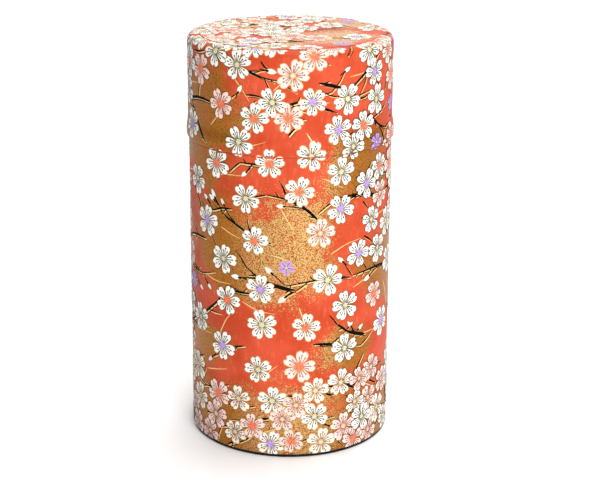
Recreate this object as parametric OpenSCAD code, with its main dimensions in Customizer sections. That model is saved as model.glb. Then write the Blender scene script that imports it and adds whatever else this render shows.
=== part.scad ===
// Paper-covered tinplate tea caddy with an outer slip lid and an inner plug lid.
// The caddy stands on the plane z = 0, centred on the Z axis. Millimetres.

/* [Caddy] */
// Outside diameter of the paper-covered body
body_d = 76; // [70:1:84]
// Height from the table to the top edge of the body
body_h = 116.5; // [100:0.5:130]
// Height of the outer lid, from its lower edge to its flat top
lid_h = 38; // [35:0.5:45]

/* [Sheet] */
// Thickness of the tinplate
tin_t = 0.3; // [0.25:0.05:0.35]
// Thickness of the pasted paper
paper_t = 0.25; // [0.2:0.05:0.3]

/* [Outer lid] */
// Radius of the rounded shoulder at the lid's top edge
shoulder_r = 2.5; // [1.5:0.25:3.5]
// Height of the double-folded hem at the lid's lower edge
hem_h = 3; // [2:0.25:4]
// Open space inside the folded hem, which makes the rim stand proud
hem_gap = 0.35; // [0.2:0.05:0.45]
// Height over which the wall flares out to the hem
flare_h = 5; // [3:0.5:7]
// Depth of the top plate's skirt inside the lid wall
plate_skirt_h = 5; // [3:0.5:7]
// Distance from the lid's side to the edge of the paper disc on its top
disc_inset = 4.5; // [4:0.5:6]
// Width of the side paper's turned-over margin that lies under the paper disc
margin_lap = 3.5; // [2:0.5:5]

/* [Neck and inner lid] */
// Height of the neck ring above the body
neck_h = 12; // [10:0.5:14]
// Depth of the neck ring inside the body
neck_seat = 16; // [10:1:25]
// Radial clearance between the neck ring and the outer lid
neck_fit = 0.15; // [0.1:0.05:0.25]
// Height of the folded hem at the mouth
mouth_hem_h = 3; // [2:0.5:4]
// Depth of the inner lid's dish
dish_h = 5; // [4:0.5:7]
// Radial clearance between the inner lid and the mouth
dish_fit = 0.1; // [0.1:0.05:0.2]
// Diameter of the inner lid's knob
knob_d = 15; // [12:0.5:18]
// Height of the knob
knob_h = 8; // [7:0.5:9]

/* [Bottom end] */
// Height of the lacquered rim that shows under the paper
rim_h = 1.1; // [1:0.1:2]
// Height of the bottom panel above the table
panel_rise = 2.7; // [2.4:0.1:4]

/* [Hidden] */
$fn = 96;

// Gap left between pieces of different bodies that rest on each other
seat_gap = 0.1;
// Bare metal left between a sheet edge and the end of its paper
bare_edge = 0.2;
// Straight steps in a quarter-round corner, and in the lid's flare
arc_steps = 8;

// Body radii, from the outside in
body_r = body_d / 2;
shell_r = body_r - paper_t;
neck_r = shell_r - tin_t;
mouth_r = neck_r - tin_t;
throat_r = mouth_r - tin_t;

// Lid radii, from the inside out
lid_bore_r = neck_r + neck_fit;
lid_wall_r = lid_bore_r + tin_t;
lid_r = lid_wall_r + paper_t;
hem_out = tin_t + hem_gap;

// Heights
total_h = body_h + lid_h;
lid_rim_z = body_h + seat_gap;
margin_z = total_h - paper_t;
plate_z = margin_z - paper_t;
shoulder_z = margin_z - shoulder_r;
wall_top_z = shoulder_z - 1;
mouth_z = body_h + neck_h;
flange_z = mouth_z + seat_gap;
dish_z = mouth_z - dish_h;

// Rivet through the knob
rivet_r = 1.5;
rivet_play = 0.05;
rivet_head_r = 3.2;
rivet_head_t = 0.7;
knob_foot_z = dish_z + tin_t;
knob_top_z = knob_foot_z + knob_h;

// Side seam of the body's tinplate, on the back
seam_deg = 6;

// Points of an arc of radius r about (cx, cy), from angle a0 to a1
function arc(cx, cy, r, a0, a1) =
    [for (i = [0:arc_steps]) let (a = a0 + (a1 - a0) * i / arc_steps)
        [cx + r * cos(a), cy + r * sin(a)]];

// How far the lid's side stands out at height z: 0 on the wall, 1 on the hem
function flare(z) =
    let (u = (z - lid_rim_z - hem_h) / flare_h)
    u <= 0 ? 1 : u >= 1 ? 0 : (1 + cos(180 * u)) / 2;

// The flared side between two heights, at radius r above the flare
function flare_line(r, z0, z1) =
    [for (i = [0:arc_steps]) let (z = z0 + (z1 - z0) * i / arc_steps)
        [r + hem_out * flare(z), z]];

function reversed(list) = [for (i = [len(list) - 1:-1:0]) list[i]];

module tube(r_out, r_in, z0, z1)
    rotate_extrude()
        translate([r_in, z0])
            square([r_out - r_in, z1 - z0]);

// Rolled tinplate cylinder with its lapped side seam inside
module body_shell() {
    color("lightgray") {
        tube(shell_r, neck_r, tin_t, body_h);
        rotate([0, 0, 90 - seam_deg / 2])
            rotate_extrude(angle = seam_deg)
                translate([mouth_r, panel_rise + 2 * tin_t])
                    square([tin_t * 1.5, body_h - neck_seat - panel_rise - 3 * tin_t]);
    }
}

// Ring pressed into the body's mouth: the outer lid slips over it
module neck_ring() {
    edge_r = tin_t / 2;
    color("silver")
        rotate_extrude()
            polygon(concat(
                [[mouth_r, body_h - neck_seat], [neck_r, body_h - neck_seat]],
                arc(neck_r - edge_r, mouth_z - edge_r, edge_r, 0, 90),
                arc(throat_r + edge_r, mouth_z - edge_r, edge_r, 90, 180),
                [[throat_r, mouth_z - mouth_hem_h], [mouth_r, mouth_z - mouth_hem_h]]));
}

// Pressed bottom with a black rim folded over the lower edge of the shell
module bottom_end() {
    fold_r = tin_t;
    panel_r = mouth_r * 0.7;
    bead_w = 2;
    bead_h = 0.5;
    color("black")
        rotate_extrude()
            polygon(concat(
                [[0, panel_rise - bead_h], [panel_r, panel_rise - bead_h],
                 [panel_r + bead_w, panel_rise]],
                arc(mouth_r - fold_r, panel_rise - fold_r, fold_r, 90, 0),
                arc(mouth_r + fold_r, fold_r, fold_r, 180, 270),
                arc(body_r - fold_r, fold_r, fold_r, 270, 360),
                [[body_r, rim_h], [shell_r, rim_h], [shell_r, tin_t], [neck_r, tin_t]],
                arc(neck_r - fold_r, panel_rise + tin_t - fold_r, fold_r, 0, 90),
                [[panel_r + bead_w, panel_rise + tin_t],
                 [panel_r, panel_rise + tin_t - bead_h], [0, panel_rise + tin_t - bead_h]]));
}

// Printed paper pasted round the body
module body_paper()
    color("coral")
        tube(body_r, shell_r, rim_h, body_h - bare_edge);

// Pressed dish that plugs the mouth and hangs from its flange
module inner_lid() {
    skirt_r = throat_r - dish_fit;
    corner_r = 0.8;
    panel_r = skirt_r * 0.68;
    bead_w = 1.5;
    bead_h = 0.6;
    low_z = dish_z;
    color("gainsboro")
        difference() {
            rotate_extrude()
                polygon(concat(
                    [[0, low_z], [panel_r, low_z], [panel_r + bead_w, low_z - bead_h]],
                    arc(skirt_r - corner_r, low_z - bead_h + corner_r, corner_r, 270, 360),
                    [[skirt_r, flange_z], [neck_r - tin_t / 2, flange_z],
                     [neck_r - tin_t / 2, flange_z + tin_t],
                     [skirt_r - tin_t, flange_z + tin_t]],
                    arc(skirt_r - corner_r, low_z - bead_h + corner_r,
                        corner_r - tin_t, 360, 270),
                    [[panel_r + bead_w, low_z - bead_h + tin_t], [panel_r, low_z + tin_t],
                     [0, low_z + tin_t]]));
            translate([0, 0, low_z - 1])
                cylinder(r = rivet_r, h = 3);
        }
}

// Turned knob with a narrow waist and a domed cap
module inner_lid_knob() {
    foot_r = knob_d * 0.32;
    waist_r = knob_d * 0.22;
    cap_r = knob_d / 2;
    cap_edge = 1.2;
    dome_r = 1.5 * cap_r;
    dome_deg = acos((cap_r - cap_edge) / dome_r);
    cap_z = knob_top_z - dome_r * (1 - sin(dome_deg)) - cap_edge;
    color("silver")
        rotate_extrude()
            polygon(concat(
                [[rivet_r, knob_foot_z], [foot_r, knob_foot_z], [foot_r, knob_foot_z + 0.8],
                 [waist_r, knob_foot_z + 1.8], [waist_r, cap_z - 2]],
                arc(cap_r - cap_edge, cap_z, cap_edge, 270, 360),
                arc(0, knob_top_z - dome_r, dome_r, dome_deg, 90 - asin(rivet_r / dome_r))));
}

// Rivet that holds the knob to the dish, its tail closed over under the panel
module knob_rivet() {
    shank_r = rivet_r - rivet_play;
    head_r = rivet_head_r;
    color("dimgray")
        rotate_extrude()
            polygon(concat(
                [[0, dish_z - rivet_head_t], [head_r - 0.4, dish_z - rivet_head_t],
                 [head_r, dish_z - 0.3], [head_r, dish_z], [shank_r, dish_z],
                 [shank_r, knob_top_z - 0.3]],
                [[shank_r - 0.3, knob_top_z], [0, knob_top_z + 0.1]]));
}

// Rolled wall of the outer lid, with its hem folded inwards at the lower edge
module lid_wall() {
    leg_r = lid_bore_r + tin_t;
    fold_r = (tin_t + hem_out) / 2;
    fold_x = lid_bore_r + fold_r;
    fold_z = lid_rim_z + fold_r;
    leg_z = lid_rim_z + hem_h;
    flare_z = leg_z + flare_h;
    color("lightgray")
        rotate_extrude()
            polygon(concat(
                [[lid_bore_r, wall_top_z], [lid_bore_r, flare_z]],
                reversed(flare_line(lid_bore_r, leg_z, flare_z)),
                arc(fold_x, fold_z, fold_r - tin_t, 0, -180),
                [[leg_r, leg_z - tin_t], [lid_bore_r, leg_z - tin_t]],
                arc(fold_x, fold_z, fold_r, 180, 360),
                flare_line(lid_wall_r, leg_z, flare_z),
                [[lid_wall_r, wall_top_z]]));
}

// Drawn disc that closes the lid: a rounded shoulder and a skirt inside the wall
module lid_top_plate() {
    bend_r = shoulder_r - paper_t;
    bend_x = lid_wall_r - bend_r;
    color("lightgray")
        rotate_extrude()
            polygon(concat(
                [[0, plate_z - tin_t]],
                arc(bend_x, plate_z - bend_r, bend_r - tin_t, 90, 0),
                [[lid_bore_r, wall_top_z + tin_t], [lid_bore_r - tin_t, wall_top_z + tin_t],
                 [lid_bore_r - tin_t, wall_top_z - plate_skirt_h],
                 [lid_bore_r, wall_top_z - plate_skirt_h],
                 [lid_bore_r, wall_top_z], [lid_wall_r, wall_top_z]],
                arc(bend_x, plate_z - bend_r, bend_r, 0, 90),
                [[0, plate_z]]));
}

// Printed paper round the lid, turned over the shoulder onto the top
module lid_paper_band() {
    leg_z = lid_rim_z + hem_h;
    bend_x = lid_r - shoulder_r;
    margin_r = lid_r - disc_inset - margin_lap;
    low_z = lid_rim_z + (tin_t + hem_out) / 2;
    color("coral")
        rotate_extrude()
            polygon(concat(
                [[lid_wall_r + hem_out, low_z], [lid_r + hem_out, low_z]],
                flare_line(lid_r, leg_z, leg_z + flare_h),
                arc(bend_x, shoulder_z, shoulder_r, 0, 90),
                [[margin_r, margin_z], [margin_r, plate_z]],
                arc(bend_x, shoulder_z, shoulder_r - paper_t, 90, 0),
                reversed(flare_line(lid_wall_r, leg_z, leg_z + flare_h))));
}

// Paper disc on the lid's top, lying over the turned-over margin
module lid_paper_top() {
    disc_r = lid_r - disc_inset;
    margin_r = disc_r - margin_lap;
    slope_w = 1;
    color("salmon")
        rotate_extrude()
            polygon([
                [0, plate_z], [margin_r - slope_w, plate_z], [margin_r, margin_z],
                [disc_r, margin_z], [disc_r, total_h], [margin_r, total_h],
                [margin_r - slope_w, margin_z], [0, margin_z]]);
}

body_shell();
neck_ring();
bottom_end();
body_paper();
inner_lid();
inner_lid_knob();
knob_rivet();
lid_wall();
lid_top_plate();
lid_paper_band();
lid_paper_top();
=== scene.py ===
import math
import random

import bpy
from mathutils import Matrix, Vector, noise


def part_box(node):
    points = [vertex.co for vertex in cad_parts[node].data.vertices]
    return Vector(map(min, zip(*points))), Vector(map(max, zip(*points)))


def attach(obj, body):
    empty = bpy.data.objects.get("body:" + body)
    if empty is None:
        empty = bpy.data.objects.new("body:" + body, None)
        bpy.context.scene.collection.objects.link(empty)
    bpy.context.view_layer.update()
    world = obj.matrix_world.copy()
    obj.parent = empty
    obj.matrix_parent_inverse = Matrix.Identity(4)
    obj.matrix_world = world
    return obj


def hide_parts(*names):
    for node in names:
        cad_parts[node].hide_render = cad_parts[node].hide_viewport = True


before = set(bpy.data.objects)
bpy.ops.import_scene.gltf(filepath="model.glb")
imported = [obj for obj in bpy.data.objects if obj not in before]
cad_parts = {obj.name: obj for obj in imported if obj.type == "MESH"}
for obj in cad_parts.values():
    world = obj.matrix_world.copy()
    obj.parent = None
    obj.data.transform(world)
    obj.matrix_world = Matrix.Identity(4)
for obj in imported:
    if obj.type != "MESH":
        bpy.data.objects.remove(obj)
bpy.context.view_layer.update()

# A paper-covered tea caddy. The tinplate pieces are the CAD nodes themselves. The three sheets of
# printed paper are dense meshes that stand for their CAD nodes, and the cherry blossom print lies
# on them as thin raised slabs of ink.
#
# The print is laid out on an unrolled sheet: degrees round the caddy from its front, positive to
# the right, and millimetres up from the table. MM turns millimetres into metres.
MM = 0.001

# Sizes read from the CAD nodes, in millimetres
BODY_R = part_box("body_paper")[1].x / MM
BODY_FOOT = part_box("body_paper")[0].z / MM
BODY_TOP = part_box("body_paper")[1].z / MM
PAPER_T = (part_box("lid_paper_band")[1].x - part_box("lid_wall")[1].x) / MM
LID_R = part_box("lid_top_plate")[1].x / MM + PAPER_T
HEM_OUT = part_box("lid_paper_band")[1].x / MM - LID_R
LID_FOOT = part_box("lid_paper_band")[0].z / MM
LID_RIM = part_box("lid_wall")[0].z / MM
MARGIN_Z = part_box("lid_paper_band")[1].z / MM
DISC_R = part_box("lid_paper_top")[1].x / MM
TOP_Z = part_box("lid_paper_top")[1].z / MM

# Sizes that the CAD design sets and no box gives
SHOULDER_R = 2.5
HEM_H = 3.0
FLARE_H = 5.0
MARGIN_LAP = 3.5
STEP_W = 1.0

# Where the wall of the lid ends, measured along the unrolled side
SHOULDER_S = MARGIN_Z - SHOULDER_R
SHOULDER_END = SHOULDER_S + SHOULDER_R * math.pi / 2

# The papers are turned in over the cut edges of the tin. Each starts to turn just before the end
# of its CAD sheet, and stops just short of the tin's edge.
TURN_BEFORE = 0.1
TURN_SHORT = 0.02
BODY_TURN = BODY_TOP - TURN_BEFORE
BODY_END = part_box("body_shell")[1].z / MM - TURN_SHORT
LID_TURN = LID_FOOT + TURN_BEFORE
LID_END = LID_RIM + TURN_SHORT

# Millimetres of the body's paper in one degree round it
DEG_MM = BODY_R * math.pi / 180

# The paper sheets are pasted with a lap at the back: where its step is and how far it takes to
# level out, both in degrees, and the height of the step
LAP_DEG = 180.0
LAP_W = 9.0
LAP_T = 0.12


# -------- surfaces

def clamp(value):
    return min(1.0, max(0.0, value))


def lap(deg):
    """How far the sheet stands out where its end lies over its start."""
    past = (LAP_DEG - deg) % 360
    return LAP_T * (1 - past / LAP_W) if past < LAP_W else 0.0


def flare(z):
    """0 on the lid's wall, 1 on its hem."""
    u = clamp((z - LID_RIM - HEM_H) / FLARE_H)
    return (1 + math.cos(math.pi * u)) / 2


def on_ring(r, deg, z):
    a = math.radians(deg)
    return Vector((r * math.sin(a), -r * math.cos(a), z)) * MM


def turn_in(past, depth):
    """How far a surface has drawn in where it rounds an edge of the given depth."""
    return depth - math.sqrt(max(0.0, depth ** 2 - past ** 2)) if past > 0 else 0.0


def on_body(deg, z, lift):
    drawn = turn_in(z - BODY_TURN, BODY_END - BODY_TURN)
    return on_ring(BODY_R + lap(deg) - drawn + lift, deg, z)


def on_lid(deg, s, lift):
    """A point on the lid's side paper: s is a height up to the shoulder, then goes over it."""
    if s <= SHOULDER_S:
        drawn = turn_in(LID_TURN - s, LID_TURN - LID_END)
        return on_ring(LID_R + HEM_OUT * flare(s) + lap(deg) - drawn + lift, deg, s)
    bend = LID_R - SHOULDER_R
    if s <= SHOULDER_END:
        a = (s - SHOULDER_S) / SHOULDER_R
        reach = SHOULDER_R + lap(deg) * math.cos(a) + lift
        return on_ring(bend + reach * math.cos(a), deg, SHOULDER_S + reach * math.sin(a))
    return on_ring(bend - (s - SHOULDER_END), deg, MARGIN_Z + lift)


def disc_z(r):
    """Height of the paper disc on the lid: it steps up where it lies over the side paper's edge."""
    edge = DISC_R - MARGIN_LAP
    u = clamp((r - edge + STEP_W) / STEP_W)
    return MARGIN_Z + (TOP_Z - MARGIN_Z) * u


def on_top(x, y, lift):
    return Vector((x, y, disc_z(math.hypot(x, y)) + lift)) * MM


# -------- meshes

def new_object(name, data):
    obj = bpy.data.objects.new(name, data)
    bpy.context.scene.collection.objects.link(obj)
    return obj


def new_piece(name, verts, faces, body, materials, stands_for=(), smooth=True):
    mesh = bpy.data.meshes.new(name)
    mesh.from_pydata(verts, [], faces)
    mesh.validate()
    for poly in mesh.polygons:
        poly.use_smooth = smooth
    for material in materials:
        mesh.materials.append(material)
    piece = new_object(name, mesh)
    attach(piece, body)
    if stands_for:
        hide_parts(*stands_for)
    return piece


def set_attribute(mesh, name, values):
    layer = mesh.attributes.new(name, "FLOAT", "POINT")
    layer.data.foreach_set("value", values)


def column_degrees(columns):
    return [360 * c / columns - 180 for c in range(columns)]


def ring_mesh(rows, columns, point):
    """A closed ring of quads: point(row, degrees) for each row of the section, going round."""
    verts = [point(row, deg) for row in rows for deg in column_degrees(columns)]
    n = len(rows)
    faces = [(r * columns + c, r * columns + (c + 1) % columns,
              (r + 1) % n * columns + (c + 1) % columns, (r + 1) % n * columns + c)
             for r in range(n) for c in range(columns)]
    return verts, faces


# -------- node helpers

def new_material(name):
    material = bpy.data.materials.new(name)
    material.use_nodes = True
    return material, material.node_tree, material.node_tree.nodes["Principled BSDF"]


def fill_socket(tree, socket, value):
    if isinstance(value, bpy.types.NodeSocket):
        tree.links.new(value, socket)
    else:
        socket.default_value = value


def fill_sockets(tree, node, inputs):
    for key, value in inputs.items():
        fill_socket(tree, node.inputs[key], value)


def add(tree, kind, inputs=(), **settings):
    """A new node with its settings and its inputs, which are sockets to link or plain values."""
    node = tree.nodes.new(kind)
    for key, value in settings.items():
        setattr(node, key, value)
    fill_sockets(tree, node, dict(inputs))
    return node


def maths(tree, operation, a, b):
    return add(tree, "ShaderNodeMath", {0: a, 1: b}, operation=operation).outputs[0]


def object_place(tree):
    return add(tree, "ShaderNodeTexCoord").outputs["Object"]


def object_coords(tree, scale=(1, 1, 1)):
    inputs = {"Vector": object_place(tree), "Scale": scale}
    return add(tree, "ShaderNodeMapping", inputs).outputs[0]


def noise_fac(tree, coords, size_mm, detail=2.0, rough=0.5):
    """Noise whose grains are about size_mm across."""
    inputs = {"Vector": coords, "Scale": 1 / (size_mm * MM), "Detail": detail,
              "Roughness": rough}
    return add(tree, "ShaderNodeTexNoise", inputs).outputs["Fac"]


def remap(tree, value, low, high, to_low=0.0, to_high=1.0):
    inputs = {"Value": value, "From Min": low, "From Max": high, "To Min": to_low,
              "To Max": to_high}
    return add(tree, "ShaderNodeMapRange", inputs, interpolation_type="SMOOTHSTEP").outputs[0]


def blend_colour(tree, fac, a, b):
    return add(tree, "ShaderNodeMix", {0: fac, 6: a, 7: b}, data_type="RGBA").outputs[2]


def bump(tree, height, depth_mm, strength=1.0):
    inputs = {"Height": height, "Strength": strength, "Distance": depth_mm * MM}
    return add(tree, "ShaderNodeBump", inputs).outputs["Normal"]


# -------- materials

VERMILION = (0.60, 0.074, 0.028, 1)
DEEP_RED = (0.50, 0.050, 0.012, 1)
WISP = (0.72, 0.20, 0.10, 1)
GOLD = (0.60, 0.37, 0.13, 1)
DARK_GOLD = (0.20, 0.065, 0.010, 1)
# Gold in painted shade, used towards the pattern's sides
PAINTED_SHADE_GOLD = (0.39, 0.165, 0.014, 1)
PAINTED_SHADE_DARK_GOLD = (0.20, 0.072, 0.005, 1)
BRIGHT_TIN = (0.66, 0.655, 0.64, 1)
DULL_TIN = (0.55, 0.545, 0.53, 1)
LACQUER = (0.006, 0.006, 0.006, 1)
DUSTY = (0.03, 0.028, 0.027, 1)
FLOOR_PALE = (0.97, 0.97, 0.968, 1)
FLOOR_GREYER = (0.95, 0.95, 0.948, 1)

# Painted shade: the golds darken between these distances to either side of the pattern's
# middle, from this far under the lid's top
PAINTED_SHADE_FROM = 9
PAINTED_SHADE_TO = 24
PAINTED_SHADE_UNDER = 0.5

# The most that a cloud's middle adds to its stipple, so that it stays broken up
GOLD_CAP = 0.34


def painted_side_shade(tree):
    """Painted shade of the golds: 0 in the middle of the pattern and on the lid's top, 1 at the
    pattern's sides.
    """
    place = add(tree, "ShaderNodeSeparateXYZ", {0: object_place(tree)})
    off = maths(tree, "ABSOLUTE", place.outputs["X"], 0)
    wide = remap(tree, off, PAINTED_SHADE_FROM * MM, PAINTED_SHADE_TO * MM)
    low = remap(tree, place.outputs["Z"], (TOP_Z - PAINTED_SHADE_UNDER) * MM, SHOULDER_S * MM)
    return maths(tree, "MULTIPLY", wide, low)


def centred(tree, fac, gain):
    """Noise from 0 to 1 turned into a swing about zero, gain from end to end."""
    return maths(tree, "MULTIPLY", maths(tree, "SUBTRACT", fac, 0.5), gain)


def varnish(shader, weight):
    """The thin satin varnish over the print."""
    shader.inputs["Coat Weight"].default_value = weight
    shader.inputs["Coat Roughness"].default_value = 0.32


def washi_material():
    """Vermilion washi with clouds of stippled gold, which the mesh's gold attribute places, and
    painted shade that darkens the gold at the pattern's sides.
    """
    material, tree, shader = new_material("washi_vermilion_gold")
    coords = object_coords(tree)
    cloud = add(tree, "ShaderNodeAttribute", attribute_name="gold").outputs["Fac"]
    even = maths(tree, "MINIMUM", cloud, GOLD_CAP)
    stipple = centred(tree, noise_fac(tree, coords, 0.46, detail=1.0), gain=2.6)
    torn = centred(tree, noise_fac(tree, coords, 2.5), gain=0.7)
    edge = maths(tree, "ADD", even, maths(tree, "ADD", stipple, torn))
    mask = remap(tree, edge, -0.06, 0.10)
    drift = noise_fac(tree, coords, 14.0)
    ground = blend_colour(tree, remap(tree, drift, 0.35, 0.65), VERMILION, DEEP_RED)
    wisps = noise_fac(tree, object_coords(tree, (1, 1, 0.45)), 1.6, detail=5.0, rough=0.65)
    ground = blend_colour(tree, remap(tree, wisps, 0.50, 0.72, 0, 0.30), ground, WISP)
    speck = noise_fac(tree, coords, 0.42, detail=1.0, rough=0.6)
    grain = remap(tree, speck, 0.40, 0.53)
    # Painted shade: the gold turns darker olive towards the pattern's sides
    gold = blend_colour(tree, painted_side_shade(tree), blend_colour(tree, grain, DARK_GOLD, GOLD),
                        blend_colour(tree, grain, PAINTED_SHADE_DARK_GOLD, PAINTED_SHADE_GOLD))
    fibres = noise_fac(tree, object_coords(tree, (1, 1, 0.35)), 0.5, detail=3.0)
    pulp = noise_fac(tree, coords, 1.8)
    height = maths(tree, "ADD", fibres, maths(tree, "MULTIPLY", pulp, 1.5))
    fill_sockets(tree, shader, {
        "Base Color": blend_colour(tree, mask, ground, gold),
        "Metallic": maths(tree, "MULTIPLY", mask, 0.5),
        "Roughness": remap(tree, mask, 0, 1, 0.55, 0.42),
        "Normal": bump(tree, height, 0.04, 0.4)})
    shader.inputs["Specular IOR Level"].default_value = 0.12
    varnish(shader, 0.03)
    return material


def ink_material(name, colour, worn, roughness=0.5, metallic=0.0, gloss=0.12):
    """A printed ink: an even film that thins to the worn colour in fine mottles."""
    material, tree, shader = new_material(name)
    coords = object_coords(tree)
    mottle = remap(tree, noise_fac(tree, coords, 0.6, detail=3.0), 0.45, 0.75)
    film = noise_fac(tree, coords, 0.9)
    rough = remap(tree, film, 0.3, 0.7, roughness - 0.06, roughness + 0.06)
    fill_sockets(tree, shader, {
        "Base Color": blend_colour(tree, mottle, colour, worn),
        "Roughness": rough,
        "Normal": bump(tree, film, 0.02, 0.4)})
    shader.inputs["Metallic"].default_value = metallic
    shader.inputs["Specular IOR Level"].default_value = gloss
    varnish(shader, gloss / 3)
    return material


def overprint(material, share, colour):
    """Blends another colour into a material's own. share(tree) makes the other one's share."""
    tree = material.node_tree
    socket = tree.nodes["Principled BSDF"].inputs["Base Color"]
    own = socket.links[0].from_socket
    fill_socket(tree, socket, blend_colour(tree, share(tree), own, colour))
    return material


def near_root(tree):
    """0 out on a petal, rising towards its root."""
    root = add(tree, "ShaderNodeAttribute", attribute_name="root").outputs["Fac"]
    return remap(tree, root, 0.45, 0.95, 0, 0.9)


def petal_material(name, colour, worn, root_colour):
    return overprint(ink_material(name, colour, worn), near_root, root_colour)


# Inks in the order of their slots: name, colour, colour where worn and a petal's colour at its root
PETAL_INKS = [
    ("petal_white", (0.90, 0.88, 0.82, 1), (0.80, 0.74, 0.62, 1), (0.62, 0.58, 0.32, 1)),
    ("petal_pink", (0.90, 0.66, 0.60, 1), (0.84, 0.50, 0.43, 1), (0.82, 0.30, 0.20, 1)),
    ("petal_cream", (0.89, 0.83, 0.71, 1), (0.82, 0.70, 0.55, 1), (0.70, 0.46, 0.22, 1)),
]
EYE_INKS = [
    ("eye_red", (0.78, 0.14, 0.06, 1), (0.85, 0.32, 0.18, 1)),
    ("eye_lilac", (0.40, 0.24, 0.62, 1), (0.60, 0.45, 0.75, 1)),
    ("eye_cream", (0.60, 0.60, 0.38, 1), (0.72, 0.56, 0.34, 1)),
]
BLACK_INK = ("line_black", (0.004, 0.003, 0.002, 1), (0.012, 0.008, 0.005, 1))
GREY_INK = ("line_grey", (0.05, 0.045, 0.03, 1), (0.13, 0.11, 0.07, 1))
BROWN_INK = ("line_brown", (0.20, 0.09, 0.055, 1), (0.40, 0.20, 0.12, 1))
EDGE_INK = ("gold_edge", (0.56, 0.36, 0.16, 1), (0.36, 0.19, 0.07, 1))
# Painted shade of the gold edge at the pattern's sides
EDGE_PAINTED_SHADE = (0.11, 0.05, 0.014, 1)
LEAF_INK = ("gold_leaf", (0.86, 0.58, 0.24, 1), (0.66, 0.38, 0.12, 1))


def edge_material():
    """The gold line round a petal, with painted shade that darkens it at the pattern's sides."""
    return overprint(ink_material(*EDGE_INK, roughness=0.42, metallic=0.3), painted_side_shade, EDGE_PAINTED_SHADE)


def make_inks():
    """The inks of the petals and eyes, of the lines and of the gold."""
    petals = [petal_material(*ink) for ink in PETAL_INKS]
    petals += [ink_material(*ink) for ink in EYE_INKS]
    lines = [ink_material(*BLACK_INK, roughness=0.7, gloss=0.03), ink_material(*GREY_INK),
             ink_material(*BROWN_INK)]
    golds = [edge_material(), ink_material(*LEAF_INK, roughness=0.4, metallic=0.5)]
    return petals, lines, golds


def ring_coords(tree):
    """Coordinates that run out from the caddy's axis, so that grain lies in rings about it."""
    place = object_place(tree)
    flat = add(tree, "ShaderNodeVectorMath", {0: place, 1: (1, 1, 0)}, operation="MULTIPLY")
    out = add(tree, "ShaderNodeVectorMath", {0: flat.outputs[0]}, operation="LENGTH")
    height = add(tree, "ShaderNodeSeparateXYZ", {0: place}).outputs["Z"]
    return add(tree, "ShaderNodeCombineXYZ", {"X": out.outputs["Value"], "Z": height}).outputs[0]


def tin_material(name, grain_coords, roughness):
    """Bright tinplate: fine grain, dull blooms and a few faint scuffs."""
    material, tree, shader = new_material(name)
    streaks = noise_fac(tree, grain_coords(tree), 0.8, detail=4.0)
    blooms = noise_fac(tree, object_coords(tree), 9.0)
    scuffs = noise_fac(tree, object_coords(tree, (1, 3, 0.15)), 0.8, detail=5.0, rough=0.7)
    dulled = blend_colour(tree, remap(tree, blooms, 0.4, 0.7), BRIGHT_TIN, DULL_TIN)
    swing = remap(tree, streaks, 0.3, 0.7, roughness - 0.04, roughness + 0.04)
    scuffed = remap(tree, scuffs, 0.62, 0.72, 0, 0.12)
    fill_sockets(tree, shader, {
        "Base Color": dulled,
        "Roughness": maths(tree, "ADD", swing, scuffed),
        "Normal": bump(tree, streaks, 0.003, 0.5)})
    shader.inputs["Metallic"].default_value = 1.0
    return material


def lacquer_material():
    """Gloss black lacquer with orange peel and a little rubbed dust."""
    material, tree, shader = new_material("black_lacquer")
    coords = object_coords(tree)
    dust = remap(tree, noise_fac(tree, coords, 1.5, detail=4.0), 0.55, 0.8)
    peel = noise_fac(tree, coords, 1.0)
    fill_sockets(tree, shader, {
        "Base Color": blend_colour(tree, dust, LACQUER, DUSTY),
        "Roughness": remap(tree, dust, 0, 1, 0.22, 0.5),
        "Normal": bump(tree, peel, 0.01)})
    shader.inputs["Specular IOR Level"].default_value = 0.15
    shader.inputs["Coat Weight"].default_value = 0.06
    shader.inputs["Coat Roughness"].default_value = 0.12
    return material


def floor_material():
    """Pale and plain, and clear from below, so that the caddy's foot can be seen."""
    material, tree, shader = new_material("pale_floor")
    cloudy = noise_fac(tree, object_coords(tree), 60.0)
    fill_socket(tree, shader.inputs["Base Color"],
                blend_colour(tree, cloudy, FLOOR_PALE, FLOOR_GREYER))
    shader.inputs["Roughness"].default_value = 0.8
    shader.inputs["Specular IOR Level"].default_value = 0.1
    below = add(tree, "ShaderNodeNewGeometry").outputs["Backfacing"]
    clear = add(tree, "ShaderNodeBsdfTransparent").outputs["BSDF"]
    one_sided = add(tree, "ShaderNodeMixShader", {0: below, 1: shader.outputs["BSDF"], 2: clear})
    fill_socket(tree, tree.nodes["Material Output"].inputs["Surface"], one_sided.outputs[0])
    return material


# -------- gold clouds

# The clouds lie in loose tiers round the caddy: degrees, millimetres up, half width in degrees,
# half height. A band of gold runs round the foot as well.
GOLD_CLOUDS = [
    (-62, 126, 38, 22), (42, 112, 28, 12), (125, 134, 36, 18), (-150, 120, 36, 17),
    (-18, 78, 42, 20), (78, 70, 30, 18), (-95, 78, 28, 16), (170, 72, 38, 18),
    (34, 42, 20, 9), (-58, 40, 22, 10), (135, 30, 28, 12), (-140, 36, 26, 12),
]
FOOT_GOLD_H = 22

# On the lid's disc: x, y, half width, half depth, in millimetres
TOP_CLOUDS = [(16, -10, 15, 13), (-18, 16, 12, 10), (-10, -26, 14, 8), (24, 20, 10, 9)]

# Each cloud is a middle oval with smaller ones heaped round it. As shares of the whole cloud: the
# middle one's size, how far off the others lie, and their sizes.
PUFFS = 5
CLOUD_SEED = 3
MIDDLE_SHARE = 0.8
PUFF_ACROSS = 0.7
PUFF_UP = 0.6
PUFF_W = (0.35, 0.6)
PUFF_H = (0.35, 0.65)

# What makes a cloud's outline uneven: strength and millimetres of each noise
UNEVEN = [(0.45, 7), (0.2, 2.5)]


def sway(draw, reach):
    """A draw that lies up to the reach either side of zero."""
    return draw.uniform(-reach, reach)


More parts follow.
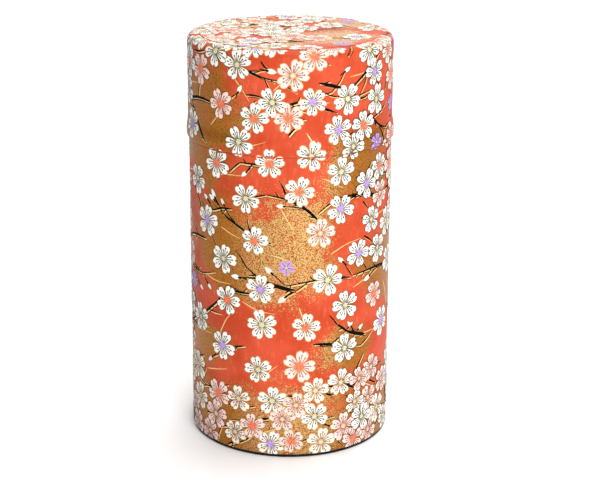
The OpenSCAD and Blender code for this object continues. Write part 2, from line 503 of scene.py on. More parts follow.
def puffs(clouds):
    draw = random.Random(CLOUD_SEED)
    heap = []
    for x, y, w, h in clouds:
        heap.append((x, y, MIDDLE_SHARE * w, MIDDLE_SHARE * h))
        for _ in range(PUFFS):
            heap.append((x + w * sway(draw, PUFF_ACROSS), y + h * sway(draw, PUFF_UP),
                         w * draw.uniform(*PUFF_W), h * draw.uniform(*PUFF_H)))
    return heap


SIDE_PUFFS = puffs(GOLD_CLOUDS)
TOP_PUFFS = puffs(TOP_CLOUDS)


def wrap_degrees(deg):
    return (deg + 180) % 360 - 180


def cone(x, y, w, h):
    """1 at a cloud's centre, 0 on its edge, negative outside."""
    return 1 - math.hypot(x / w, y / h)


def cloud_at(deg, z):
    """The gold of the unrolled pattern at a point. Puffs add none past twice their half width."""
    best = max(-1.0, 1 - z / FOOT_GOLD_H)
    for c_deg, c_z, w, h in SIDE_PUFFS:
        x = wrap_degrees(deg - c_deg)
        if abs(x) < 2 * w:
            best = max(best, cone(x, z - c_z, w, h))
    return best


def top_cloud_at(x, y):
    return max(cone(x - cx, y - cy, w, h) for cx, cy, w, h in TOP_PUFFS)


def paint_gold(piece, values):
    """Stores each point's gold, with the clouds' outlines made uneven."""
    mesh = piece.data
    uneven = [sum(strength * noise.noise(v.co / (size * MM)) for strength, size in UNEVEN)
              for v in mesh.vertices]
    set_attribute(mesh, "gold", [a + b for a, b in zip(values, uneven)])


# -------- paper sheets

# Width of the small bevel on a paper's cut edges
PAPER_EDGE = 0.08

# Columns of the sheets' quads round the caddy, and rows of each stretch
SIDE_COLUMNS = 300
DISC_COLUMNS = 180
BODY_ROWS = 115
LID_ROWS = 36
SHOULDER_ROWS = 9
DISC_ROWS = 38
EDGE_ROWS = 4

# The disc's rows of quads stop short of its middle, where one flat face closes it
HUB_R = 0.8


def steps(low, high, count):
    return [low + (high - low) * i / count for i in range(count + 1)]


def side_sheet(name, rows, surface, body, node, material):
    """A sheet round the caddy. A row is how far it lies off the surface, and its place up it."""
    verts, faces = ring_mesh(rows, SIDE_COLUMNS, lambda row, deg: surface(deg, row[1], row[0]))
    piece = new_piece(name, verts, faces, body, [material], [node])
    paint_gold(piece, [cloud_at(deg, up) for _, up in rows
                       for deg in column_degrees(SIDE_COLUMNS)])


def body_sheet(material):
    rows = [(-PAPER_T, BODY_FOOT), (-PAPER_EDGE, BODY_FOOT)]
    rows += [(0, z) for z in steps(BODY_FOOT + PAPER_EDGE, BODY_TURN, BODY_ROWS)]
    rows += [(0, z) for z in steps(BODY_TURN, BODY_END, EDGE_ROWS)[1:]]
    rows += [(-PAPER_T, BODY_TURN)]
    side_sheet("body_washi", rows, on_body, "caddy_body", "body_paper", material)


def lid_sheet(material):
    margin_end = SHOULDER_END + LID_R - SHOULDER_R - (DISC_R - MARGIN_LAP)
    line = steps(LID_END, LID_TURN, EDGE_ROWS)[:-1] + steps(LID_TURN, SHOULDER_S, LID_ROWS)
    line += steps(SHOULDER_S, SHOULDER_END, SHOULDER_ROWS)[1:]
    line += steps(SHOULDER_END, margin_end, EDGE_ROWS)[1:]
    rows = [(0, s) for s in line] + [(-PAPER_T, s) for s in reversed(line) if s >= LID_TURN]
    side_sheet("lid_washi_side", rows, on_lid, "outer_lid", "lid_paper_band", material)


def disc_sheet(material):
    radii = steps(HUB_R, DISC_R - PAPER_EDGE, DISC_ROWS)
    rows = [(r, 0) for r in radii] + [(DISC_R, -PAPER_EDGE), (DISC_R, -PAPER_T)]
    rows += [(r, -PAPER_T) for r in reversed(radii)]

    def point(row, deg):
        a = math.radians(-deg)
        return on_top(row[0] * math.cos(a), row[0] * math.sin(a), row[1])

    verts, faces = ring_mesh(rows, DISC_COLUMNS, point)
    last = (len(rows) - 1) * DISC_COLUMNS
    faces = faces[:-DISC_COLUMNS]
    faces.append(tuple(range(DISC_COLUMNS - 1, -1, -1)))
    faces.append(tuple(last + c for c in range(DISC_COLUMNS)))
    piece = new_piece("lid_washi_disc", verts, faces, "outer_lid", [material],
                      ["lid_paper_top"])
    paint_gold(piece, [top_cloud_at(v.x / MM, v.y / MM) for v in verts])


# -------- ink

# Heights of the ink's layers over the paper. Each blossom has a level of its own over those
# that it overlaps, and a slab's foot is sunk in the paper.
SUNK = -0.05
LEAF_TOP = 0.02
TWIG_TOP = 0.035
LEVEL_RISE = 0.07
EDGE_TOP = 0.05
PETAL_TOP = 0.075
STAMEN_TOP = 0.09
EYE_TOP = 0.10

# Longest facet of a slab where the paper is nearly flat, on the lid's shoulder, which starts this
# much early, and on the lid's hem and the step of its disc
FACET = 2.5
SHOULDER_FACET = 0.5
NEAR_SHOULDER = 1
HEM_FACET = 1.0

# Slabs with less area than this, in square millimetres, are left out
SMALLEST_SLAB = 0.03

# A stroke keeps this far inside its sheet
STROKE_ROOM = 0.1

# A stroke's width at its start as a share of the widest, and how fast it swells and fades
FINE_START = 0.35
SWELL = 6
FADE = 1.6


class Ink:
    """Closed thin slabs of ink, gathered into one mesh."""

    def __init__(self):
        self.verts = []
        self.faces = []
        self.slots = []
        self.roots = []

    def slab(self, outline, place, top, rings, slot, root):
        """A slab on an outline that is seen whole from its middle, with rings of facets.

        root(x, y) tells how near a pattern point is to the root of its petal.
        """
        n = len(outline)
        cx = sum(x for x, _ in outline) / n
        cy = sum(y for _, y in outline) / n
        first = len(self.verts)
        for ring in range(rings):
            k = 1 - ring / rings
            points = [(cx + (x - cx) * k, cy + (y - cy) * k) for x, y in outline]
            self.verts += [place(x, y, top) for x, y in points]
            self.roots += [root(x, y) for x, y in points]
        foot = len(self.verts)
        self.verts += [place(x, y, SUNK) for x, y in outline]
        middle = len(self.verts)
        self.verts += [place(cx, cy, top), place(cx, cy, SUNK)]
        self.roots += [root(cx, cy)] * (len(self.verts) - len(self.roots))
        inner = first + (rings - 1) * n
        start = len(self.faces)
        for i in range(n):
            j = (i + 1) % n
            for a in range(first, inner, n):
                self.faces.append((a + i, a + j, a + n + j, a + n + i))
            self.faces.append((inner + i, inner + j, middle))
            self.faces.append((foot + i, foot + j, first + j, first + i))
            self.faces.append((foot + j, foot + i, middle + 1))
        self.slots += [slot] * (len(self.faces) - start)

    def ribbon(self, left, right, place, top, slot):
        """A slab between two lines of points, the left one on the left going along."""
        n, first = len(left), len(self.verts)
        for lift in (top, SUNK):
            for a, b in zip(left, right):
                self.verts += [place(*a, lift), place(*b, lift)]
        self.roots += [0.0] * (4 * n)
        under = first + 2 * n
        start = len(self.faces)
        for i in range(n - 1):
            a, b = first + 2 * i, under + 2 * i
            self.faces += [(a, a + 1, a + 3, a + 2), (b, b + 2, b + 3, b + 1),
                           (a, a + 2, b + 2, b), (b + 1, b + 3, a + 3, a + 1)]
        a, b = first + 2 * n - 2, under + 2 * n - 2
        self.faces += [(first, under, under + 1, first + 1), (a + 1, b + 1, b, a)]
        self.slots += [slot] * (len(self.faces) - start)

    def piece(self, name, body, slot, materials):
        made = new_piece(name, self.verts, self.faces, body, materials, smooth=False)
        made.data.polygons.foreach_set("material_index", self.slots)
        set_attribute(made.data, "root", self.roots)


def no_root(x, y):
    return 0.0


class Carrier:
    """A sheet that takes print: its surface, where print may lie on it, and its three inks."""

    def __init__(self, name, body, place, room, facet, round_scale):
        self.name = name
        self.body = body
        self.place = place
        self.room = room
        self.facet = facet
        self.round_scale = round_scale
        self.petals = Ink()
        self.lines = Ink()
        self.gold = Ink()

    def spot(self, x, y, u, v):
        """The pattern point that lies u across and v up from (x, y), in millimetres."""
        return (x + u / self.round_scale, y + v)

    def clip(self, outline):
        """The part of an outline that lies on this sheet."""
        kept = []
        for a, b in zip(outline, outline[1:] + outline[:1]):
            room_a, room_b = self.room(*a), self.room(*b)
            if room_a > 0:
                kept.append(a)
            if (room_a > 0) != (room_b > 0):
                t = room_a / (room_a - room_b)
                kept.append((a[0] + (b[0] - a[0]) * t, a[1] + (b[1] - a[1]) * t))
        return kept

    def apart(self, a, b):
        """Millimetres between two points of the pattern."""
        return math.hypot((a[0] - b[0]) * self.round_scale, a[1] - b[1])

    def area(self, outline):
        pairs = zip(outline, outline[1:] + outline[:1])
        return abs(sum(a[0] * b[1] - b[0] * a[1] for a, b in pairs)) / 2 * self.round_scale

    def stamp(self, ink, outline, top, slot, root=no_root):
        """Prints one slab, clipped to the sheet and fine enough to follow its surface."""
        outline = self.clip(outline)
        if len(outline) < 3 or self.area(outline) < SMALLEST_SLAB:
            return
        facet = min(self.facet(*p) for p in outline)
        fine = []
        for a, b in zip(outline, outline[1:] + outline[:1]):
            count = max(1, math.ceil(self.apart(a, b) / facet))
            fine += [(a[0] + (b[0] - a[0]) * i / count, a[1] + (b[1] - a[1]) * i / count)
                     for i in range(count)]
        middle = (sum(p[0] for p in fine) / len(fine), sum(p[1] for p in fine) / len(fine))
        reach = max(self.apart(p, middle) for p in fine)
        ink.slab(fine, self.place, top, max(1, math.ceil(reach / facet)), slot, root)

    def stamper(self, x, y, level):
        """What prints outlines drawn about (x, y), on a level over the paper."""
        def stamp(ink, outline, top, slot, root=no_root):
            placed = [self.spot(x, y, u, v) for u, v in outline]
            self.stamp(ink, placed, LEVEL_RISE * level + top, slot, root)
        return stamp

    def stroke(self, ink, points, width, top, slot, shift=(0, 0)):
        """Prints a brush stroke through the points, thick in the middle and fine at its ends."""
        line = [p for p in smooth_line(points, self.round_scale) if self.room(*p) > STROKE_ROOM]
        if len(line) < 2:
            return
        left, right = [], []
        for i, p in enumerate(line):
            a, b = line[max(0, i - 1)], line[min(len(line) - 1, i + 1)]
            du, dv = (b[0] - a[0]) * self.round_scale, b[1] - a[1]
            length = math.hypot(du, dv)
            half = width / 2 * taper(i / (len(line) - 1))
            across = (-dv / length * half, du / length * half)
            left.append(self.spot(*p, shift[0] + across[0], shift[1] + across[1]))
            right.append(self.spot(*p, shift[0] - across[0], shift[1] - across[1]))
        ink.ribbon(right, left, self.place, top, slot)

    def finish(self, petal_inks, line_inks, gold_inks):
        self.petals.piece(self.name + "_petals", self.body, "petal_ink", petal_inks)
        self.lines.piece(self.name + "_lines", self.body, "line_ink", line_inks)
        self.gold.piece(self.name + "_gold", self.body, "gold_ink", gold_inks)


def taper(t):
    """A stroke's width along it: quick to swell, slow to fade."""
    return FINE_START + (1 - FINE_START) * min(1.0, SWELL * t) * min(1.0, FADE * (1 - t))


def smooth_line(points, round_scale):
    """Points about a millimetre apart on a Catmull-Rom curve through the given ones."""
    if len(points) == 2:
        points = [points[0], tuple((a + b) / 2 for a, b in zip(*points)), points[1]]
    ends = [points[0]] + list(points) + [points[-1]]
    line = [points[0]]
    for p0, p1, p2, p3 in zip(ends, ends[1:], ends[2:], ends[3:]):
        span = math.hypot((p2[0] - p1[0]) * round_scale, p2[1] - p1[1])
        count = max(2, math.ceil(span))
        for i in range(1, count + 1):
            t = i / count
            line.append(tuple(
                (2 * b + (c - a) * t + (2 * a - 5 * b + 4 * c - d) * t ** 2
                 + (3 * b - a - 3 * c + d) * t ** 3) / 2
                for a, b, c, d in zip(p0, p1, p2, p3)))
    return line


# -------- motifs

# Material slots of the three inks
PETAL_SLOTS = {"W": 0, "P": 1, "Y": 2, "L": 4}
EYE_SLOTS = {"r": 3, "l": 4, "c": 5}
LINE_BLACK, LINE_GREY, LINE_BROWN = 0, 1, 2
GOLD_EDGE, GOLD_LEAF = 0, 1

# Half of a petal's outline, from its root to the notch in its tip, as a share of its length
HALF_PETAL = [(0.08, 0.03), (0.30, 0.165), (0.52, 0.29), (0.72, 0.35), (0.87, 0.325),
              (0.97, 0.225), (1.0, 0.12)]
PETAL_MIDDLE = 0.6
NOTCH = 0.86
PETALS = 5

# The same for a bud
HALF_DROP = [(0.0, 0.05), (0.16, 0.17), (0.38, 0.24), (0.62, 0.21), (0.84, 0.11)]
DROP_MIDDLE = 0.5
DROP_TIP = 1.0

# Width of a petal's gold edge and of a stamen, radius of the dot on a stamen's end, and the step
# between petals of one blossom
EDGE_W = 0.30
STAMEN_W = 0.30
DOT_R = 0.35
PETAL_SHIM = 0.003

# How far a hand-cut stencil strays: millimetres of its line, the reach of petals and stamens as
# shares of a petal, and degrees of their turn
CUT_JITTER = 0.12
PETAL_REACH = (0.95, 1.03)
STAMEN_JITTER = 0.05
TURN_JITTER = 3

# A petal's stamens: degrees off its middle, and reach as a share of its length. A blossom up to
# the small size has only the middle ones.
SMALL_BLOSSOM = 8
STAMENS = [(-16, 0.60), (0, 0.73), (16, 0.60)]
STAMEN_FROM = 0.18

# Radius of a blossom's eye by its colour, as a share of its petals' length, and where its rays
# and the dips between them lie as shares of that radius
EYE_SHARE = {"r": 0.26, "l": 0.24, "c": 0.11}
RAY = 1.6
RAY_DIP = 0.8
RAY_UNEVEN = (0.85, 1.1)

EYE_CORNERS = 20
DOT_CORNERS = 6

# A bud's stalk and calyx: start, end and width, as shares of the bud but for the stalk's width
STALK = (-0.7, 0.1, 0.4)
CALYX = (-0.1, 0.22, 0.2)


def petal_outline(length, turn, swell):
    """One petal, pointing along an angle. Swell is how far its outline is pushed outwards."""
    return grown_outline(HALF_PETAL, NOTCH, PETAL_MIDDLE, length, turn, swell)


def drop_outline(length, turn, swell):
    return grown_outline(HALF_DROP, DROP_TIP, DROP_MIDDLE, length, turn, swell)


def grown_outline(shape, tip, centre, length, turn, swell):
    half = [(a * length, b * length) for a, b in shape]
    whole = [(a, -b) for a, b in half] + [(tip * length, 0)] + half[::-1]
    middle = centre * length
    c, s = math.cos(turn), math.sin(turn)
    outline = []
    for a, b in whole:
        grow = 1 + swell / math.hypot(a - middle, b)
        a, b = middle + (a - middle) * grow, b * grow
        outline.append((a * c - b * s, a * s + b * c))
    return outline


def disc_outline(radius, sides, u=0, v=0):
    return [(u + radius * math.cos(2 * math.pi * i / sides),
             v + radius * math.sin(2 * math.pi * i / sides)) for i in range(sides)]


def bar_outline(start, end, width, turn):
    """A thin bar along an angle, from start to end out of the middle."""
    c, s = math.cos(turn), math.sin(turn)
    w = width / 2
    return [(a * c - b * s, a * s + b * c)
            for a, b in ((start, -w), (end, -w), (end, w), (start, w))]


def blossom(carrier, x, y, size, kind, tilt, level):
    """A five-petalled cherry blossom: gold edge, petals, stamens and eye, on its own level."""
    length = size / 2 - EDGE_W
    tone = LINE_GREY if kind[0] == "W" else LINE_BROWN
    draw = random.Random(f"{x:.1f} {y:.1f}")
    stamp = carrier.stamper(x, y, level)

    def near_eye(px, py):
        return 1 - min(1.0, carrier.apart((px, py), (x, y)) / length)

    for petal in range(PETALS):
        turn = math.radians(tilt - 90 + petal * 360 / PETALS + sway(draw, TURN_JITTER))
        reach = length * draw.uniform(*PETAL_REACH)
        shim = PETAL_SHIM * petal
        stamp(carrier.gold, petal_outline(reach, turn, EDGE_W), EDGE_TOP + shim, GOLD_EDGE)
        cut = [(u + sway(draw, CUT_JITTER), v + sway(draw, CUT_JITTER))
               for u, v in petal_outline(reach, turn, 0)]
        stamp(carrier.petals, cut, PETAL_TOP + shim, PETAL_SLOTS[kind[0]], near_eye)
        for fan, share in STAMENS if size > SMALL_BLOSSOM else STAMENS[1:2]:
            along = turn + math.radians(fan + sway(draw, TURN_JITTER))
            tip = length * (share + sway(draw, STAMEN_JITTER))
            bar = bar_outline(STAMEN_FROM * length, tip, STAMEN_W, along)
            stamp(carrier.lines, bar, STAMEN_TOP, tone)
            if size > SMALL_BLOSSOM:
                dot = disc_outline(DOT_R, DOT_CORNERS, tip * math.cos(along),
                                   tip * math.sin(along))
                stamp(carrier.lines, dot, STAMEN_TOP + PETAL_SHIM, tone)
    rays = []
    for i, (u, v) in enumerate(disc_outline(EYE_SHARE[kind[1]] * length, EYE_CORNERS)):
        far = (RAY if i % 2 else RAY_DIP) * draw.uniform(*RAY_UNEVEN)
        rays.append((u * far, v * far))
    stamp(carrier.petals, rays, EYE_TOP, EYE_SLOTS[kind[1]])


def bud(carrier, x, y, size, kind, turn_deg, level):
    """A closed bud: two petals wrapped in a drop, in a dark calyx with a short stalk."""
    turn = math.radians(turn_deg)
    stamp = carrier.stamper(x, y, level)
    stamp(carrier.gold, drop_outline(size, turn, EDGE_W), EDGE_TOP, GOLD_EDGE)
    stamp(carrier.petals, drop_outline(size, turn, 0), PETAL_TOP, PETAL_SLOTS[kind[0]])
    start, end, width = STALK
    stamp(carrier.lines, bar_outline(start * size, end * size, width, turn), STAMEN_TOP,
          LINE_BLACK)
    start, end, width = CALYX
    stamp(carrier.lines, bar_outline(start * size, end * size, width * size, turn),
          STAMEN_TOP + PETAL_SHIM, LINE_BLACK)


# -------- layout of the print

# The layout is this script's own: drifts of blossom over open ground, and sprays of twig, all set
# out by seeded draws. A blossom's kind is its petals, White, Pink, Yellow cream or Lilac, and its
# eye, red, lilac or cream.
KINDS = ["Wc", "Wc", "Wc", "Wc", "Wl", "Wl", "Wr", "Wr", "Pr", "Pr", "Pc", "Lc"]
FOOT_KINDS = ["Yc", "Yc", "Yc", "Pc", "Pc", "Pr", "Wc", "Wc", "Wl"]

# Drifts of crowded blossom: degrees, millimetres up, half width in degrees, half height. The last
# is wide enough to run right round, over the lid's shoulder. One more runs round the foot, and its
# upper edge waves up and down.
DRIFTS = [(62, 112, 46, 46), (-4, 134, 30, 14), (-88, 140, 30, 18), (-160, 96, 46, 26),
          (130, 58, 34, 24), (-84, 66, 24, 20), (150, 150, 60, 16), (0, 160, 500, 14)]
FOOT_DRIFT = 33
FOOT_WAVE = 5
FOOT_WAVES = 3

# On the lid's disc, with x, y, half width and half depth in millimetres
TOP_DRIFTS = [(-18, 2, 34, 40), (12, 24, 30, 22)]

# Millimetres between the middles of blossoms on open ground and in a drift, their diameter, what
# a drift may take off it, and the lilac ones' share of SMALL_BLOSSOM
OPEN_GAP = 13.0
DRIFT_GAP = 7.6
BLOSSOM_SIZE = (11.0, 13.0)
CROWD_LOSS = 1.4
LILAC_SHARE = (0.75, 1.0)

# The lowest place of a motif, millimetres between the roots of sprays, of lone twigs and of gold
# grasses, and how crowded the blossom is where lone twigs grow
LOWEST = 2
SPRAY_GAP = 18
TWIG_GAP = 6.5
GRASS_GAP = 17
TWIG_CROWD = 0.5

# A spray's branch: its slant off level, its length and width, and how far strokes bend at each
# of their points
SPRAY_SLANT = 38
SPRAY_LONG = (13, 26)
SPRAY_W = (0.8, 1.35)
BEND = 16

# Its forks, whose length and width are shares of the branch's, and the buds at their tips
FORK_LEAN = (18, 45)
FORK_SHARE = (0.25, 0.45)
FORK_W = 0.55
BUD_SIZE = (2.9, 4.1)
BUD_KINDS = "WWP"

# Lone twigs and grasses: shortest, longest and width, and their slant
TWIG = (4, 8, 0.8)
GRASS = (7, 15, 0.38)
LONE_SLANT = 60

# Short spurs: the gap from one to the next and how it strays, how far they lean off the branch,
# their length, and their share of its width
SPUR_GAP = 4.0
SPUR_STRAY = (0.3, 0.7)
SPUR_LEAN = 40
SPUR_LONG = (1.4, 3.0)
SPUR_W = 0.5

# Branches wider than this have a finer strand beside them, and ones wider than the next have spurs
STRAND_FROM = 0.65
SPURS_FROM = 0.75

# The black line's and the strand's shares of a branch's width, and how far off its middle the gold
# and the strand lie: millimetres and a share of its width
BLACK_SHARE = 0.9
STRAND_SHARE = 0.35
GOLD_OFF = (0.2, 0.25)
STRAND_OFF = (0.3, 0.5)

TRIES = 5000
SEED = 4


def side_gap(a, b):
    return math.hypot(wrap_degrees(a[0] - b[0]) * DEG_MM, a[1] - b[1])


def top_gap(a, b):
    return math.hypot(a[0] - b[0], a[1] - b[1])


def side_spot(draw):
    return (sway(draw, 180), draw.uniform(LOWEST, SHOULDER_END + SHOULDER_R))


def top_spot(draw):
    a = draw.uniform(0, 2 * math.pi)
    r = DISC_R * math.sqrt(draw.random())
    return (r * math.cos(a), r * math.sin(a))


def soft_cone(x, y, w, h):
    """1 in the inner half of an oval, falling to 0 on its edge."""
    return clamp(2 * cone(x, y, w, h))


def side_crowd(deg, z):
    """0 on open ground, 1 in a drift of blossom."""
    edge = FOOT_DRIFT + FOOT_WAVE * math.sin(math.radians(FOOT_WAVES * deg))
    foot = clamp((edge - z) / FOOT_WAVE)
    return max([foot] + [soft_cone(wrap_degrees(deg - d), z - c_z, w, h)
                         for d, c_z, w, h in DRIFTS])


def top_crowd(x, y):
    return max(soft_cone(x - cx, y - cy, w, h) for cx, cy, w, h in TOP_DRIFTS)


def scatter(draw, spot, distance, gap):
    """Seeded places that keep the gap that each one asks for."""
    kept = []
    for _ in range(TRIES):
        place = spot(draw)
        clear = gap(*place)
        if all(distance(place, other) > clear for other in kept):
            kept.append(place)
    return kept


def scatter_blossoms(draw, spot, distance, crowd, foot):
    """Blossoms as place, diameter, kind and tilt. They are smaller where they crowd."""
    motifs = []
    for x, y in scatter(draw, spot, distance,
                        lambda x, y: OPEN_GAP + (DRIFT_GAP - OPEN_GAP) * crowd(x, y)):
        size = draw.uniform(*BLOSSOM_SIZE) - CROWD_LOSS * crowd(x, y) * draw.random()
        kind = draw.choice(FOOT_KINDS if y < foot else KINDS)
        if kind[0] == "L":
            size = draw.uniform(*LILAC_SHARE) * SMALL_BLOSSOM
        motifs.append((x, y, size, kind, draw.uniform(0, 360 / PETALS)))
    return motifs


def wander(draw, start, way, long, count, round_scale):
    """Points of a stroke that bends a little at each of them."""
    points = [start]
    for _ in range(count):
        way += math.radians(sway(draw, BEND))
        x, y = points[-1]
        points.append((x + long / count * math.cos(way) / round_scale,
                       y + long / count * math.sin(way)))
    return points


def spray(draw, start, round_scale):
    """A forked branch, and a bud at the tip of each fork."""
    way = math.radians(draw.choice((0, 180)) + sway(draw, SPRAY_SLANT))
    long = draw.uniform(*SPRAY_LONG)
    width = draw.uniform(*SPRAY_W)
    branch = wander(draw, start, way, long, 3, round_scale)
    strokes = [(width, *branch)]
    buds = []
    for point in branch[1:]:
        side = way + math.radians(draw.choice((-1, 1)) * draw.uniform(*FORK_LEAN))
        fork = wander(draw, point, side, long * draw.uniform(*FORK_SHARE), 2, round_scale)
        strokes.append((FORK_W * width, *fork))
        buds.append((*fork[-1], draw.uniform(*BUD_SIZE), draw.choice(BUD_KINDS),
                     math.degrees(side)))
    return strokes, buds


def lone_strokes(draw, places, shortest, longest, width, round_scale):
    """Single strokes from the places."""
    return [(width, *wander(draw, place, math.radians(sway(draw, LONE_SLANT)),
                            draw.uniform(shortest, longest), 2, round_scale))
            for place in places]


def levels(motifs, gap):
    """A level for each motif that none of those it overlaps has."""
    chosen = []
    for i, motif in enumerate(motifs):
        taken = {chosen[j] for j in range(i)
                 if gap(motif, motifs[j]) < (motif[2] + motifs[j][2]) / 2 + EDGE_W}
        chosen.append(min(set(range(len(taken) + 1)) - taken))
    return chosen


def spurs(draw, width, points, round_scale):
    """Short side twigs that grow from a branch."""
    grown = []
    for a, b in zip(points, points[1:]):
        du, dv = (b[0] - a[0]) * round_scale, b[1] - a[1]
        span = math.hypot(du, dv)
        for i in range(int(span / SPUR_GAP)):
            t = (i + draw.uniform(*SPUR_STRAY)) * SPUR_GAP / span
            root = (a[0] + (b[0] - a[0]) * t, a[1] + (b[1] - a[1]) * t)
            lean = math.atan2(dv, du) + math.radians(draw.choice((-SPUR_LEAN, SPUR_LEAN)))
            spur = wander(draw, root, lean, draw.uniform(*SPUR_LONG), 1, round_scale)
            grown.append((SPUR_W * width, *spur))
    return grown


def beside(offset, width):
    """The shift that sets a line to the right of and below a branch."""
    off = offset[0] + offset[1] * width
    return (off, -off)


def print_branches(carriers, strokes):
    """Black branches, each with a gold line below it and the wide ones with a finer strand."""
    for width, *points in strokes:
        for carrier in carriers:
            below = beside(GOLD_OFF, width)
            carrier.stroke(carrier.gold, points, width, LEAF_TOP, GOLD_LEAF, below)
            carrier.stroke(carrier.lines, points, BLACK_SHARE * width, TWIG_TOP, LINE_BLACK)
            if width > STRAND_FROM:
                below = beside(STRAND_OFF, width)
                strand = STRAND_SHARE * width
                carrier.stroke(carrier.lines, points, strand, TWIG_TOP, LINE_BLACK, below)


def print_motifs(carriers, motifs, draw_motif, heights):
    for motif, level in zip(motifs, heights):
        for carrier in carriers:
            if carrier.room(motif[0], motif[1]) > -motif[2]:
                draw_motif(carrier, *motif, level)


def print_sheet(carriers, spot, distance, crowd, foot):
    """Prints one unrolled pattern, which the body and the lid's side share."""
    draw = random.Random(SEED)
    round_scale = carriers[0].round_scale
    strokes = []
    buds = []
    for place in scatter(draw, spot, distance, lambda x, y: SPRAY_GAP):
        grown, tips = spray(draw, place, round_scale)
        strokes += grown
        buds += tips
    twigs = [place for place in scatter(draw, spot, distance, lambda x, y: TWIG_GAP)
             if crowd(*place) > TWIG_CROWD]
    strokes += lone_strokes(draw, twigs, *TWIG, round_scale)
    strokes += [spur for width, *points in strokes if width > SPURS_FROM
                for spur in spurs(draw, width, points, round_scale)]
    print_branches(carriers, strokes)
    grasses = scatter(draw, spot, distance, lambda x, y: GRASS_GAP)
    for width, *points in lone_strokes(draw, grasses, *GRASS, round_scale):
        for carrier in carriers:
            carrier.stroke(carrier.gold, points, width, LEAF_TOP, GOLD_LEAF)
    blossoms = scatter_blossoms(draw, spot, distance, crowd, foot)
    print_motifs(carriers, blossoms, blossom, levels(blossoms, distance))
    clear = [tip for tip in buds if all(distance(tip, other) > (other[2] + tip[2]) / 2
                                        for other in blossoms)]
    print_motifs(carriers, clear, bud, [0] * len(clear))


def make_print():
    foot = BODY_FOOT + PAPER_EDGE
    lid_end = SHOULDER_END + LID_R - SHOULDER_R - DISC_R
    hem_end = LID_RIM + HEM_H + FLARE_H
    edge = DISC_R - PAPER_EDGE

    def lid_facet(deg, s):
        if s > SHOULDER_S - NEAR_SHOULDER:
            return SHOULDER_FACET
        return HEM_FACET if s < hem_end else FACET

    def top_facet(x, y):
        return HEM_FACET if math.hypot(x, y) > DISC_R - MARGIN_LAP - 2 * STEP_W else FACET

    body = Carrier("body", "caddy_body", on_body, lambda deg, z: min(z - foot, BODY_END - z),
                   lambda deg, z: FACET, DEG_MM)
    lid = Carrier("lid", "outer_lid", on_lid, lambda deg, s: min(s - LID_END, lid_end - s),
                  lid_facet, DEG_MM)
    disc = Carrier("lid_disc", "outer_lid", on_top, lambda x, y: edge - math.hypot(x, y),
                   top_facet, 1)
    print_sheet([body, lid], side_spot, side_gap, side_crowd, FOOT_DRIFT)
    print_sheet([disc], top_spot, top_gap, top_crowd, -DISC_R)
    inks = make_inks()
    for carrier in (body, lid, disc):
        carrier.finish(*inks)


# -------- tinplate

def dress_nodes():
    """Gives each CAD piece that shows its own finish."""
    around = tin_material("tinplate_wall", lambda tree: object_coords(tree, (1, 1, 0.08)),
                          roughness=0.27)
    flat = tin_material("tinplate_flat", lambda tree: object_coords(tree, (0.12, 1, 1)),
                        roughness=0.30)
    spun = tin_material("tinplate_spun", ring_coords, roughness=0.22)
    finishes = {"body_shell": around, "neck_ring": around, "lid_wall": around,
                "lid_top_plate": flat, "inner_lid": spun, "inner_lid_knob": spun,
                "knob_rivet": spun, "bottom_end": lacquer_material()}
    for name, material in finishes.items():
        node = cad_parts[name]
        node.data.materials.clear()
        node.data.materials.append(material)


# -------- studio

# The camera stands in front and looks down a little. Lens in millimetres, place in metres, angles
# in degrees.
CAMERA_AT = (0, -0.5804, 0.2625)
PITCH = 17.99
YAW = 0.38
ROLL = 0.235
LENS = 95.15
SENSOR = 36

# The room's light: the direction of its bright side, its strength there and opposite, and the
# cosine of the angle off the bright side by which it has faded
BRIGHT_SIDE = (-0.10, 0.85, 0.50)
SKY_BRIGHT = 1.1
SKY_DIM = 0.03
SKY_FADED = -0.2

FLOOR_HALF = 3.0


def aim(obj, at):
    """Points an object's -Z axis at a place."""
    away = Vector(at) - obj.location
    obj.rotation_euler = away.to_track_quat("-Z", "Y").to_euler()


def add_lamp(name, lamp, place, at):
    obj = new_object(name, lamp)
    obj.location = place
    aim(obj, at)


def softbox(name, place, at, width, height, power):
    lamp = bpy.data.lights.new(name, "AREA")
    lamp.shape = "RECTANGLE"
    lamp.size = width
    lamp.size_y = height
    lamp.energy = power
    add_lamp(name, lamp, place, at)


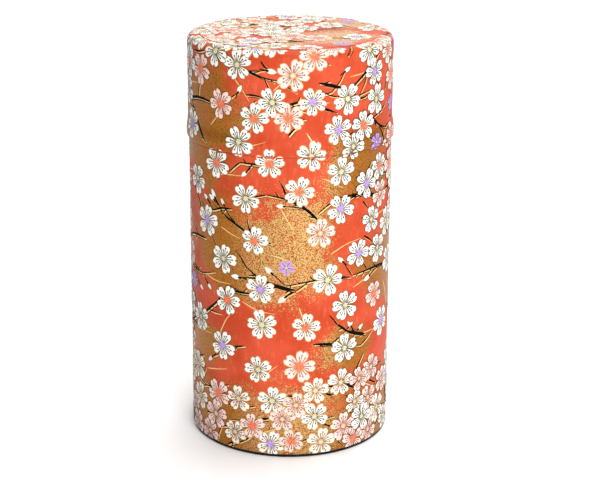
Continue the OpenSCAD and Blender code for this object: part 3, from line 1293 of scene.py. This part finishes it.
def sky_light():
    """A soft room that is bright behind and above, and dim in front and below."""
    world = bpy.data.worlds.new("studio")
    world.use_nodes = True
    tree = world.node_tree
    ray = add(tree, "ShaderNodeTexCoord").outputs["Generated"]
    way = add(tree, "ShaderNodeVectorMath", {0: ray, 1: BRIGHT_SIDE},
              operation="DOT_PRODUCT").outputs["Value"]
    fill_socket(tree, tree.nodes["Background"].inputs["Strength"],
                remap(tree, way, SKY_FADED, 1.0, SKY_DIM, SKY_BRIGHT))
    bpy.context.scene.world = world


def make_floor():
    corners = [(x * FLOOR_HALF, y * FLOOR_HALF, 0) for x, y in ((-1, -1), (1, -1), (1, 1), (-1, 1))]
    mesh = bpy.data.meshes.new("floor")
    mesh.from_pydata(corners, [], [(0, 1, 2, 3)])
    mesh.materials.append(floor_material())
    floor = new_object("floor", mesh)


def make_lights():
    middle = (0, 0, TOP_Z / 2 * MM)
    top = (0, 0, TOP_Z * MM)
    softbox("key", (0.30, -0.89, 0.40), middle, width=0.5, height=0.6, power=9.5)
    softbox("behind", (0.2, 1.2, 0.6), top, width=1.4, height=0.6, power=6.5)
    softbox("above", (0.1, 0.1, 0.75), middle, width=0.5, height=0.5, power=2.0)
    overhead = bpy.data.lights.new("overhead", "SUN")
    overhead.energy = 2.15
    overhead.angle = math.radians(50)
    add_lamp("overhead", overhead, (0.2, 0.3, 2), middle)
    sky_light()
    bpy.context.scene.view_settings.view_transform = "Standard"


def make_camera():
    lens = bpy.data.cameras.new("camera")
    lens.lens = LENS
    lens.sensor_width = SENSOR
    lens.clip_start = 0.01
    camera = new_object("camera", lens)
    turn = (Matrix.Rotation(math.radians(-YAW), 4, "Z")
            @ Matrix.Rotation(math.radians(90 - PITCH), 4, "X")
            @ Matrix.Rotation(math.radians(ROLL), 4, "Z"))
    camera.matrix_world = Matrix.Translation(CAMERA_AT) @ turn
    bpy.context.scene.camera = camera


# -------- the whole scene

washi = washi_material()
body_sheet(washi)
lid_sheet(washi)
disc_sheet(washi)
make_print()
dress_nodes()
make_floor()
make_lights()
make_camera()
